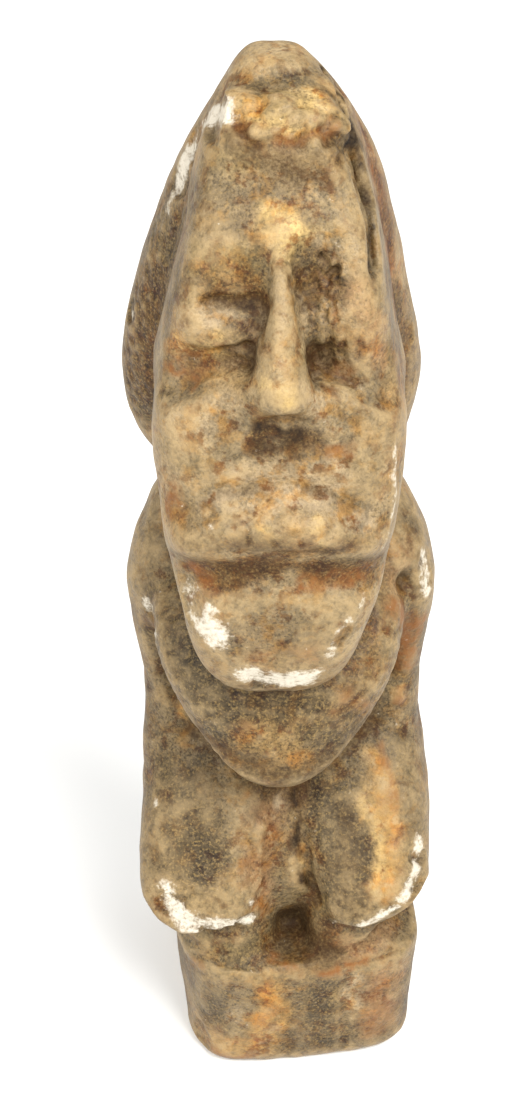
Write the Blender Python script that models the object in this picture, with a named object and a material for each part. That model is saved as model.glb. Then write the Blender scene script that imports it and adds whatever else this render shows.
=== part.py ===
"""A crouching figure with a large head, carved from one piece of soapstone with its plinth.

The trunk, arms and hair are blocked out as lofts and swollen limbs, fused into one body and worn smooth.
The head, nose, lips, legs and plinth are added crisp, and the grooves and hollows are then cut in.
"""

import math

import bmesh
import bpy
import numpy as np
from mathutils import Matrix, Vector

# Driving sizes, in metres
PLINTH_HEIGHT = 0.0210
PLINTH_WIDTH = 0.0345
PLINTH_DEPTH = 0.0404
PLINTH_WORN_EDGE = 0.0018
FIGURE_HEIGHT = 0.1305

# How the plinth sits under the figure: turned a little, set a little to one side, narrower at its foot
PLINTH_TURN = math.radians(7.0)
PLINTH_ASIDE = 0.0021
PLINTH_SET_BACK = 0.0014
PLINTH_FOOT_SHARE = 0.965
PLINTH_SQUARENESS = 4.8

# The figure is drawn on a grid of 130.5 units from the top of the plinth to the crown.
# A point is (across, forward, up): across to the viewer's right, forward to the viewer, along -Y.
GRID_UNITS = 130.5
UNIT = FIGURE_HEIGHT / GRID_UNITS

ROUGH_CELL = 0.85 * UNIT
FINE_CELL = 0.65 * UNIT
FINISHED_FACES = 9600

STONE_COLOUR = (0.36, 0.29, 0.20, 1.0)
STONE_ROUGHNESS = 0.6


def place(across, forward, up):
    """A point of the figure's grid, in metres."""
    return Vector((across * UNIT, -forward * UNIT, PLINTH_HEIGHT + up * UNIT))


def superellipse(turn, squareness):
    """The point of a unit superellipse at an angle: 2 is a circle, and more is squarer."""
    c, s = math.cos(turn), math.sin(turn)
    power = 2 / squareness
    return math.copysign(abs(c) ** power, c), math.copysign(abs(s) ** power, s)


def skin(bm, rings):
    """Joins rings of points, from the lowest to the highest, into one closed skin."""
    loops = [[bm.verts.new(point) for point in ring] for ring in rings]
    sides = len(loops[0])
    for lower, upper in zip(loops, loops[1:]):
        for i in range(sides):
            j = (i + 1) % sides
            bm.faces.new((lower[i], lower[j], upper[j], upper[i]))
    bm.faces.new(list(reversed(loops[0])))
    bm.faces.new(loops[-1])


def smooth_slices(slices, between=3):
    """Puts more slices between the given ones, on a smooth curve through them."""
    rows = np.array(slices, float)
    padded = np.vstack([2 * rows[0] - rows[1], rows, 2 * rows[-1] - rows[-2]])
    made = []
    for a, b, c, d in zip(padded, padded[1:], padded[2:], padded[3:]):
        for step in range(between):
            t = step / between
            made.append(
                0.5 * (2 * b + (c - a) * t + (2 * a - 5 * b + 4 * c - d) * t**2 + (3 * b - a - 3 * c + d) * t**3)
            )
    made.append(rows[-1])
    return made


def loft(bm, slices, squareness=2.4, sides=48):
    """Stacks level slices, each (up, middle, half width, back, front)."""
    rings = []
    for up, middle, half_width, back, front in smooth_slices(slices):
        centre, half_depth = (front + back) / 2, (front - back) / 2
        ring = []
        for i in range(sides):
            x, y = superellipse(2 * math.pi * i / sides, squareness)
            ring.append(place(middle + half_width * x, centre - half_depth * y, up))
        rings.append(ring)
    skin(bm, rings)


def lump(bm, centre, radii, lean=0.0, squareness=2.0, rows=12, sides=24):
    """A swelling with radii across, forward and up, whose top leans back by an angle."""
    rings = []
    for row in range(1, rows):
        level = math.pi * (row / rows - 0.5)
        ring = []
        for i in range(sides):
            x, y = superellipse(2 * math.pi * i / sides, squareness)
            forward = -radii[1] * y * math.cos(level)
            up = radii[2] * math.sin(level)
            ring.append(
                place(
                    centre[0] + radii[0] * x * math.cos(level),
                    centre[1] + forward * math.cos(lean) - up * math.sin(lean),
                    centre[2] + forward * math.sin(lean) + up * math.cos(lean),
                )
            )
        rings.append(ring)
    skin(bm, rings)


def limb(bm, joints, spacing=1.5, squareness=2.0):
    """A chain of lumps along a path. Each joint of it is (centre, radii, lean in degrees)."""
    for (start, r0, lean0), (end, r1, lean1) in zip(joints, joints[1:]):
        steps = max(1, round(math.dist(start, end) / spacing))
        for step in range(steps + 1):
            t = step / steps
            centre = [a + (b - a) * t for a, b in zip(start, end)]
            radii = [a + (b - a) * t for a, b in zip(r0, r1)]
            lump(bm, centre, radii, math.radians(lean0 + (lean1 - lean0) * t), squareness)


def torso(bm):
    """The crouching trunk, and the swelling chest that overhangs the thighs."""
    loft(
        bm,
        [
            (-1.5, 1.5, 14.0, -18.0, 6.0),
            (6.0, 1.4, 16.5, -21.0, 6.0),
            (16.0, 1.0, 16.5, -21.5, 5.0),
            (27.0, 0.6, 14.0, -18.5, 6.0),
            (36.0, 0.3, 14.0, -16.5, 7.0),
            (46.0, 0.1, 17.0, -16.5, 8.0),
            (54.0, 0.0, 18.0, -16.0, 4.0),
            (60.0, 0.0, 16.0, -15.0, 1.0),
            (64.0, 0.0, 12.0, -13.0, 1.0),
        ],
        squareness=2.6,
    )
    loft(
        bm,
        [
            (30.0, 0.2, 3.0, 4.0, 13.0),
            (33.0, 0.2, 6.5, 2.0, 16.2),
            (38.0, 0.2, 10.5, 0.0, 17.8),
            (44.0, 0.2, 14.2, -2.0, 17.6),
            (50.0, 0.2, 16.8, -4.0, 15.0),
            (55.0, 0.2, 17.0, -6.0, 10.0),
            (59.0, 0.2, 14.0, -8.0, 5.0),
        ],
        squareness=2.2,
    )


def neck(bm):
    loft(
        bm,
        [
            (52.0, 0.0, 12.0, -13.0, 6.0),
            (60.0, 0.0, 11.0, -13.0, 6.0),
            (70.0, 0.0, 11.5, -14.0, 8.0),
            (78.0, 0.0, 12.0, -16.0, 8.0),
        ],
    )


def arms(bm):
    """The arms hang from high round shoulders, and run into the thighs below the elbow."""
    for middle, side in ((0.1, -1), (1.1, 1)):
        limb(
            bm,
            [
                ((middle + side * 10.1, -10.0, 61.4), (7.6, 8.0, 6.0), 0),
                ((middle + side * 13.4, -7.4, 55.4), (6.8, 9.0, 8.0), 0),
                ((middle + side * 15.0, -6.8, 51.8), (6.0, 9.0, 8.2), 0),
                ((middle + side * 15.2, -5.6, 46.0), (5.0, 7.0, 6.0), 0),
                ((middle + side * 14.8, -4.5, 38.0), (4.3, 5.5, 4.0), 0),
                ((middle + side * 14.2, -3.5, 31.0), (4.9, 5.5, 4.0), 0),
                ((middle + side * 13.4, -1.0, 24.0), (6.0, 6.5, 4.0), 0),
            ],
        )


def seat(bm):
    """The calves are folded back against the seat, and fill the space under the thighs."""
    for side in (-1, 1):
        limb(
            bm,
            [
                ((1.0 + side * 9.5, -12.0, 13.0), (8.6, 9.0, 12.0), 0),
                ((0.8 + side * 11.0, -3.0, 10.5), (7.4, 9.0, 9.5), 0),
                ((0.6 + side * 10.8, 5.0, 8.0), (6.9, 9.0, 8.0), 0),
            ],
            squareness=2.4,
        )


def legs(bm):
    """The thighs slope down to blunt knees, which overhang the folded shins."""
    limb(
        bm,
        [
            ((-8.0, -4.0, 25.0), (9.8, 9.0, 9.0), -10),
            ((-8.7, 2.0, 20.0), (10.6, 8.8, 8.0), -20),
            ((-10.8, 9.4, 13.6), (8.8, 8.8, 5.6), -30),
            ((-11.3, 12.6, 11.6), (7.8, 8.0, 3.4), -38),
        ],
        squareness=3.4,
    )
    limb(
        bm,
        [
            ((11.4, -4.0, 25.0), (9.6, 9.0, 9.0), -10),
            ((12.2, 2.0, 20.0), (9.6, 8.8, 8.0), -20),
            ((13.8, 9.2, 13.6), (8.2, 8.8, 5.6), -30),
            ((14.0, 12.2, 11.6), (7.2, 8.0, 3.4), -38),
        ],
        squareness=3.4,
    )
    for middle, front in ((-7.4, 17.2), (11.0, 16.6)):
        loft(
            bm,
            [
                (-1.5, middle, 7.7, -18.0, front - 0.4),
                (1.0, middle, 7.7, -18.5, front),
                (5.0, middle, 7.5, -19.0, front - 0.4),
                (9.0, middle, 7.0, -18.5, front - 1.6),
                (13.0, middle, 6.4, -17.0, front - 4.0),
            ],
            squareness=3.4,
        )
    loft(
        bm,
        [
            (-1.5, 1.6, 5.0, 0.0, 9.6),
            (2.6, 1.4, 5.0, 0.0, 9.8),
            (5.0, 0.8, 5.4, 0.0, 11.4),
            (7.4, 0.6, 6.5, 0.0, 13.0),
            (13.0, 0.8, 6.5, 0.0, 12.6),
            (20.0, 1.4, 6.0, 0.0, 8.4),
            (25.0, 1.6, 5.0, 0.0, 5.0),
        ],
        squareness=2.0,
    )


def head(bm):
    """The long face, from the chin up to the hairline, thrust out in front of the hair."""
    loft(
        bm,
        [
            (50.8, -0.4, 3.2, 5.0, 16.4),
            (52.6, -0.4, 6.4, 2.0, 19.0),
            (56.0, -0.3, 9.4, 0.0, 21.2),
            (60.5, -0.2, 11.4, -4.0, 22.3),
            (65.0, 0.0, 12.8, -8.0, 22.3),
            (71.0, 0.2, 14.1, -10.0, 21.6),
            (78.0, 0.2, 15.2, -12.0, 20.8),
            (84.5, 0.2, 15.8, -12.0, 19.4),
            (90.0, 0.2, 15.9, -12.0, 18.2),
            (94.0, 0.0, 15.3, -12.0, 17.0),
            (99.0, 0.0, 14.4, -12.0, 15.4),
            (106.0, 0.2, 13.0, -12.0, 13.2),
            (111.0, 0.3, 12.0, -12.0, 11.2),
            (115.0, 0.4, 11.0, -12.0, 8.4),
            (120.0, 0.4, 9.8, -12.0, 3.6),
            (124.0, 0.3, 8.0, -12.0, -1.0),
        ],
        squareness=4.2,
    )


def brow(bm):
    """A band of hair swells over the forehead, and a knot stands between the brows."""
    lump(bm, (0.6, -3.2, 122.4), (8.2, 4.8, 7.8), math.radians(44), squareness=3.0)
    limb(
        bm,
        [
            ((-5.0, -2.4, 125.4), (3.0, 2.8, 2.8), 40),
            ((0.4, -0.8, 125.0), (3.4, 3.2, 3.2), 40),
            ((6.0, -1.8, 124.2), (3.0, 2.8, 3.0), 40),
        ],
        squareness=2.4,
    )
    lump(bm, (0.2, 7.6, 113.2), (3.8, 2.6, 4.0), math.radians(25), squareness=2.0)


def hair(bm):
    """The hair is a pointed hood behind the face, widest at its lobes beside the jaw."""
    loft(
        bm,
        [
            (64.5, -0.8, 10.0, -15.0, -9.0),
            (68.5, -0.8, 15.0, -19.0, -7.0),
            (71.5, -0.6, 17.4, -21.0, -5.5),
            (75.0, -0.7, 18.9, -22.5, -4.5),
            (79.0, -0.7, 19.7, -23.5, -3.8),
            (83.0, -0.8, 19.7, -24.0, -3.2),
            (88.0, -0.9, 19.2, -24.5, -2.8),
            (94.0, -0.8, 18.0, -24.5, -2.4),
            (100.0, -0.6, 16.6, -24.0, -2.2),
            (106.0, -0.3, 14.9, -23.0, -2.0),
            (111.5, 0.0, 13.2, -21.5, -2.0),
            (117.0, 0.1, 11.2, -19.5, -2.0),
            (122.0, 0.0, 8.7, -17.0, -2.2),
            (125.5, -0.2, 6.8, -15.0, -2.8),
            (128.5, -0.4, 4.9, -13.0, -4.0),
            (130.5, -0.6, 3.4, -11.0, -5.5),
        ],
        squareness=2.5,
    )


def nose(bm):
    """A ridge that widens to a blunt tip, with its underside sloping back to the lip."""
    loft(
        bm,
        [
            (88.6, 0.7, 5.2, 8.0, 15.6),
            (90.6, 0.8, 7.2, 8.0, 16.8),
            (93.2, 0.7, 7.0, 8.0, 18.0),
            (95.8, 0.5, 5.9, 8.0, 19.8),
            (98.2, 0.4, 5.0, 8.0, 21.6),
            (100.0, 0.3, 4.3, 8.0, 21.2),
            (102.0, 0.3, 3.7, 8.0, 20.0),
            (105.0, 0.3, 2.8, 6.0, 18.0),
            (109.0, 0.4, 2.0, 6.0, 15.2),
            (113.0, 0.5, 1.8, 4.0, 12.2),
        ],
        squareness=1.9,
    )
    lump(bm, (0.6, 13.0, 94.6), (7.6, 5.4, 6.0), math.radians(25))


def lips(bm):
    """The upper lip is a thick shelf that bends down at its ends."""
    limb(
        bm,
        [
            ((-10.6, 14.8, 76.8), (3.2, 6.6, 4.0), 8),
            ((-5.4, 15.4, 79.2), (3.2, 7.4, 4.4), 8),
            ((0.4, 15.6, 79.9), (3.2, 7.8, 4.5), 8),
            ((6.0, 15.4, 79.3), (3.2, 7.4, 4.4), 8),
            ((10.8, 14.8, 77.2), (3.2, 6.6, 4.0), 8),
        ],
        squareness=2.4,
    )


def plinth(bm):
    """The block under the feet, with a worn lower edge. Its foot is cut level afterwards."""
    below_ground = -0.1 * PLINTH_HEIGHT
    levels = (
        (below_ground, 1 - PLINTH_WORN_EDGE / PLINTH_WIDTH * 2),
        (0.25 * PLINTH_WORN_EDGE, 1 - PLINTH_WORN_EDGE / PLINTH_WIDTH),
        (PLINTH_WORN_EDGE, 1.0),
        (PLINTH_HEIGHT, 1.0),
    )
    turned = Matrix.Rotation(PLINTH_TURN, 3, "Z")
    sides = 64
    rings = []
    for level, share in levels:
        flare = PLINTH_FOOT_SHARE + (1 - PLINTH_FOOT_SHARE) * max(0.0, level) / PLINTH_HEIGHT
        ring = []
        for i in range(sides):
            x, y = superellipse(2 * math.pi * i / sides, PLINTH_SQUARENESS)
            corner = Vector((x * PLINTH_WIDTH / 2, y * PLINTH_DEPTH / 2, 0)) * flare * share
            ring.append(turned @ corner + Vector((PLINTH_ASIDE, PLINTH_SET_BACK, level)))
        rings.append(ring)
    skin(bm, rings)


def fused(name, bm, cell, passes):
    """One object whose overlapping masses are fused into one skin and worn smooth."""
    mesh = bpy.data.meshes.new(name)
    bm.to_mesh(mesh)
    bm.free()
    obj = bpy.data.objects.new(name, mesh)
    bpy.context.scene.collection.objects.link(obj)
    remesh = obj.modifiers.new("Fuse", "REMESH")
    remesh.mode = "VOXEL"
    remesh.voxel_size = cell
    applied(obj)
    return rubbed(obj, passes)


def applied(obj):
    """The object with its modifiers made part of its mesh."""
    graph = bpy.context.evaluated_depsgraph_get()
    mesh = bpy.data.meshes.new_from_object(obj.evaluated_get(graph))
    obj.modifiers.clear()
    obj.data = mesh
    return obj


def bmesh_of(obj):
    bm = bmesh.new()
    bm.from_mesh(obj.data)
    bpy.data.objects.remove(obj)
    return bm


def along(points, path):
    """Each point's distance to a path of two or more points, in as many dimensions as the path has."""
    nearest = np.full(len(points), np.inf)
    for start, end in zip(path, path[1:]):
        a, span = np.array(start, float), np.subtract(end, start).astype(float)
        t = np.clip((points - a) @ span / (span @ span), 0, 1)
        nearest = np.minimum(nearest, np.linalg.norm(points - a - t[:, None] * span, axis=1))
    return nearest


def ramp(value, low, high):
    """0 below low, 1 above high, and smooth between."""
    t = np.clip((value - low) / (high - low), 0, 1)
    return t * t * (3 - 2 * t)


class Surface:
    """The points of the fused figure on its grid, which cuts push in and swellings push out."""

    def __init__(self, obj):
        self.mesh = obj.data
        count = len(self.mesh.vertices)
        metres = np.empty(count * 3, np.float32)
        self.mesh.vertices.foreach_get("co", metres)
        self.points = (metres.reshape(-1, 3).astype(float) - (0, 0, PLINTH_HEIGHT)) / UNIT * (1, -1, 1)
        self.read_normals()

    def read_normals(self):
        normals = np.empty(len(self.mesh.vertices) * 3, np.float32)
        self.mesh.vertex_normals.foreach_get("vector", normals)
        self.normals = normals.reshape(-1, 3).astype(float) * (1, -1, 1)

    def write(self):
        metres = self.points * UNIT * (1, -1, 1) + (0, 0, PLINTH_HEIGHT)
        self.mesh.vertices.foreach_set("co", metres.astype(np.float32).ravel())
        self.mesh.update()
        self.read_normals()

    def push(self, depth):
        self.points -= self.normals * depth[:, None]
        self.write()

    def groove(self, path, width, depth):
        """A round-bottomed cut along a path through space."""
        self.push(depth * np.exp(-((along(self.points, path) / width) ** 2)))

    def facing(self):
        """1 where the surface faces the viewer, on the front half of the figure."""
        return ramp(self.normals[:, 1], 0.1, 0.45) * ramp(self.points[:, 1], -2, 2)

    def face_groove(self, path, width, depth, where=1.0):
        """A round-bottomed cut along a path of (across, up), in what faces the viewer."""
        away = along(self.points[:, [0, 2]], path)
        self.push(depth * np.exp(-((away / width) ** 2)) * self.facing() * where)

    def shave(self, point, normal, centre, radii):
        """A flat cut: what stands beyond a plane is taken down to it, inside an ellipsoid."""
        direction = np.array(normal, float) / np.linalg.norm(normal)
        beyond = (self.points - point) @ direction
        inside = ramp(1.15 - np.linalg.norm((self.points - centre) / radii, axis=1), 0.0, 0.15)
        self.points -= direction * (np.maximum(beyond, 0) * inside)[:, None]
        self.write()


def carve_eyes(stone):
    """A closed lid on each side of the nose, between two hollows, over a ledge at the cheek.

    The left lid is a clear roll. The right one is nearly worn away, so its hollows run together."""
    across, forward, up = stone.points.T
    ledge = np.interp(across, [-16, -13.3, -9, -5.4, 4, 8, 12.9, 16], [92.4, 94.6, 97.4, 98.8, 98.6, 97.4, 94.0, 92])
    nose_width = np.interp(up, [92, 98, 102, 106, 113], [6.6, 4.4, 3.2, 2.1, 1.2])
    beside_nose = ramp(np.abs(across - 0.4) - nose_width, -0.4, 1.5)
    left_depth = np.interp(up, [99, 101.4, 102.2, 103.6, 104.7, 107, 110, 114], [2.8, 3.2, 0.3, 0.1, 3.2, 3.0, 1.3, 0])
    right_depth = np.interp(up, [99, 101.5, 103.5, 105, 108, 112, 115.5], [4.2, 3.6, 2.0, 2.4, 3.6, 2.6, 0])
    left_reach = np.interp(up, [99.0, 101.5, 104, 108], [13.6, 12.4, 10.4, 8.8])
    right_reach = np.interp(up, [98.0, 101.5, 104, 110], [11.0, 8.4, 7.2, 7.6])
    left = left_depth * (1 - ramp(-across, left_reach - 1.2, left_reach + 1.2))
    right = right_depth * (1 - ramp(across, right_reach - 1.6, right_reach + 1.8))
    cheek = 1.7 * (1 - ramp(up - ledge, 3, 9)) * (1 - ramp(np.abs(across), 13.4, 15.6))
    hollow = np.maximum(np.where(across < 0.4, left, right), cheek) * ramp(up - ledge, -0.5, 0.7)
    stone.push(hollow * beside_nose * stone.facing())


def carve_mouth(stone):
    """A slot between the lips, which bends down at its ends like them, and a step over the upper lip."""
    stone.face_groove(
        [(-11.4, 71.4), (-9, 72.2), (-4, 73.7), (0, 74.2), (5, 73.8), (9, 72.8), (11.4, 71.8)], 2.1, 3.9
    )
    stone.face_groove([(-11.4, 81.2), (-7, 84.6), (0, 86.0), (6, 84.8), (11.0, 80.8)], 1.3, 0.9)


def carve_hair(stone):
    """A cleft parts the face from the hair on the right, widest beside the forehead."""
    stone.groove([(5.8, -4.4, 129.0), (8.4, -1.6, 126.2), (9.8, -1.2, 122.6)], 0.9, 1.3)
    stone.groove([(9.8, 0.0, 121.6), (10.6, 2.0, 118.6), (11.2, 2.8, 116.2)], 1.4, 3.4)
    stone.groove([(11.2, 2.8, 116.2), (11.7, 5.2, 113.4), (12.0, 8.2, 110.2)], 1.0, 2.6)
    stone.groove([(-12.5, -2.0, 112.0), (-14.4, -2.6, 103.0), (-15.6, -3.0, 92.0)], 1.2, 0.8)


def carve_arms(stone):
    """The chest stands clear of the arms, most of all on the right."""
    stone.groove([(17.6, 0.6, 56.0), (17.2, -0.4, 47.0), (15.4, 0.6, 40.0)], 1.6, 2.4)
    stone.groove([(-16.4, 0.4, 47.0), (-15.2, 0.6, 40.0), (-14.0, 2.0, 37.0)], 1.4, 1.6)


def carve_lap(stone):
    """The thighs part in a narrow valley, which ends in a dark hole between the shins."""
    stone.groove([(1.6, 8.0, 26.0), (2.0, 13.0, 18.0), (3.6, 16.0, 10.0)], 1.1, 2.0)
    stone.groove([(2.0, 15.0, 3.6), (1.8, 15.0, 6.0)], 2.8, 2.0)
    stone.groove([(-16.0, 15.6, 6.4), (-7.0, 17.6, 6.0), (-2.0, 17.0, 5.6)], 1.2, 1.3)
    stone.groove([(6.0, 17.0, 5.8), (12.0, 17.6, 6.4), (18.4, 14.6, 7.4)], 1.2, 1.3)


def carve_back(stone):
    """The back is plain: a spine between the shoulders, and a cleft in the seat."""
    stone.groove([(0.3, -16.0, 58.0), (0.4, -15.6, 46.0), (0.6, -17.0, 32.0)], 2.6, 1.2)
    stone.groove([(0.8, -20.0, 20.0), (1.2, -21.0, 6.0)], 1.6, 1.5)


def dress_knees(stone):
    """The outer corners of the knees are cut back."""
    stone.shave((8.0, 20.6, 9.4), (0.34, 0.86, -0.38), (15, 18, 10), (11, 8, 9))
    stone.shave((20.6, 14.0, 12.0), (0.74, 0.3, -0.6), (20, 14, 9), (9, 10, 8))
    stone.shave((-15.6, 19.0, 9.2), (-0.55, 0.55, -0.6), (-18, 17, 9), (9, 9, 9))
    stone.shave((-19.2, 15.0, 11.0), (-0.76, 0.3, -0.58), (-19, 14, 8), (8, 9, 8))


def rubbed(obj, passes):
    """The object with its carved edges rubbed down."""
    wear = obj.modifiers.new("Wear", "SMOOTH")
    wear.factor = 0.5
    wear.iterations = passes
    return applied(obj)


def levelled(obj):
    """The finished body: thinned to its final faces, cut level at the ground and centred over it."""
    mesh = obj.data
    mesh.calc_loop_triangles()
    thin = obj.modifiers.new("Thin", "DECIMATE")
    thin.ratio = FINISHED_FACES / len(mesh.loop_triangles)
    applied(obj)
    bm = bmesh.new()
    bm.from_mesh(obj.data)
    cut = bmesh.ops.bisect_plane(
        bm, geom=bm.verts[:] + bm.edges[:] + bm.faces[:], plane_co=(0, 0, 0), plane_no=(0, 0, 1), clear_inner=True
    )
    rim = [item for item in cut["geom_cut"] if isinstance(item, bmesh.types.BMEdge)]
    bmesh.ops.contextual_create(bm, geom=rim)
    bmesh.ops.triangulate(bm, faces=bm.faces[:])
    corners = np.array([vert.co for vert in bm.verts])
    middle = (corners.min(axis=0) + corners.max(axis=0)) / 2
    bmesh.ops.translate(bm, verts=bm.verts[:], vec=(-middle[0], -middle[1], 0))
    bmesh.ops.recalc_face_normals(bm, faces=bm.faces[:])
    for face in bm.faces:
        face.smooth = True
    bm.to_mesh(obj.data)
    bm.free()


def soapstone():
    material = bpy.data.materials.new("Soapstone")
    material.use_nodes = True
    shader = material.node_tree.nodes["Principled BSDF"]
    shader.inputs["Base Color"].default_value = STONE_COLOUR
    shader.inputs["Roughness"].default_value = STONE_ROUGHNESS
    shader.inputs["Metallic"].default_value = 0.0
    return material


def build():
    for obj in list(bpy.data.objects):
        bpy.data.objects.remove(obj)
    masses = bmesh.new()
    for part in (torso, neck, arms, seat, hair):
        part(masses)
    blank = bmesh_of(fused("blank", masses, ROUGH_CELL, 5))
    for part in (head, brow, nose, lips, legs, plinth):
        part(blank)
    figure = fused("stone_figure", blank, FINE_CELL, 3)
    stone = Surface(figure)
    for carve in (carve_eyes, carve_mouth, carve_hair, carve_arms, carve_lap, carve_back, dress_knees):
        carve(stone)
    rubbed(figure, 1)
    levelled(figure)
    figure.data.materials.append(soapstone())


build()
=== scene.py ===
"""A crouching stone figure with a large head, standing on a pale table under soft light.

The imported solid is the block. Its copy gets the fine carving, the wear and the breaks, and then its stone.
"""

import math

import bpy
import numpy as np
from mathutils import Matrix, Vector


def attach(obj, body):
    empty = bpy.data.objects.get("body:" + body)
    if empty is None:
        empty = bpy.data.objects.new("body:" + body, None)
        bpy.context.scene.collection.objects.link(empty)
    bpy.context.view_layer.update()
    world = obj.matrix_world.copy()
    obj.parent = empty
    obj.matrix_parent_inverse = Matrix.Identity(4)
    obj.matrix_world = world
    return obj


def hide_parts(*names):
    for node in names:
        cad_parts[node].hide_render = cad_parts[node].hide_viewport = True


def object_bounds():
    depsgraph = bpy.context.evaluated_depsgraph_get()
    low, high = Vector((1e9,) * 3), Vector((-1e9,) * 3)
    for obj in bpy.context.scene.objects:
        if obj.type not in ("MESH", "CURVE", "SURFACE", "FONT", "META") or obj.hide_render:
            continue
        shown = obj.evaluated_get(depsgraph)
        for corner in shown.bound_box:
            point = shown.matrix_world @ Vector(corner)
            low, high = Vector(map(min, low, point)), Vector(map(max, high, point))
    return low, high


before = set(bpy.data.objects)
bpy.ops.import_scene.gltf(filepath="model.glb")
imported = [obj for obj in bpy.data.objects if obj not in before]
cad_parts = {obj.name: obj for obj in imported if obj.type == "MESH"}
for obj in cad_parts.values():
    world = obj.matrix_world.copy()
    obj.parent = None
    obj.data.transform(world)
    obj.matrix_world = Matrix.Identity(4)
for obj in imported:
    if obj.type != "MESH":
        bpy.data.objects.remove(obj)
cad_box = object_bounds()


# The carved figure: its skin.
# One piece of soapstone, cut with small iron blades, rubbed down with sand and leaf, and handled for long.
# The CAD solid is laid over with an even skin, fine enough to hold a mark of half a millimetre.
MERGE_WITHIN = 0.002 / 1000
SKIN_CELL = 0.36 / 1000
MOST_TRIANGLES = 192000

bpy.ops.object.select_all(action="DESELECT")
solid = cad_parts["stone_figure"]
figure = bpy.data.objects.new("carved_figure", solid.data.copy())
bpy.context.scene.collection.objects.link(figure)
bpy.context.view_layer.objects.active = figure
figure.select_set(True)
bpy.ops.object.mode_set(mode="EDIT")
bpy.ops.mesh.select_all(action="SELECT")
bpy.ops.mesh.remove_doubles(threshold=MERGE_WITHIN)
bpy.ops.object.mode_set(mode="OBJECT")
figure.data.materials.clear()
skin = figure.modifiers.new("Skin", "REMESH")
skin.mode = "VOXEL"
skin.voxel_size = SKIN_CELL
bpy.ops.object.modifier_apply(modifier=skin.name)
rub = figure.modifiers.new("Rub", "SMOOTH")
rub.factor = 0.5
rub.iterations = 8
bpy.ops.object.modifier_apply(modifier=rub.name)


def ramp(value, low, high):
    """0 below low, 1 above high, and smooth between."""
    t = np.clip((value - low) / (high - low), 0, 1)
    return t * t * (3 - 2 * t)


def away_from(points, path):
    """How far each point is from a path, in millimetres. A path of one place is a dot."""
    if len(path) == 1:
        return np.linalg.norm(points - np.array(path[0], float), axis=1)
    nearest = np.full(len(points), np.inf)
    for start, end in zip(path, path[1:]):
        a = np.array(start, float)
        span = np.subtract(end, start).astype(float)
        t = np.clip((points - a) @ span / (span @ span), 0, 1)
        nearest = np.minimum(nearest, np.linalg.norm(points - a - t[:, None] * span, axis=1))
    return nearest


def uneven(points, size, seed):
    """A smooth random field, mostly between -1 and 1, whose rises are about size millimetres across."""
    draw = np.random.default_rng(seed)
    field = np.zeros(len(points))
    waves = 28
    for _ in range(waves):
        direction = draw.normal(size=3)
        direction *= math.pi / size * draw.uniform(0.6, 1.5) / np.linalg.norm(direction)
        field += np.sin(points @ direction + draw.uniform(0, 2 * math.pi))
    return field * math.sqrt(1.0 / waves)


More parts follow.
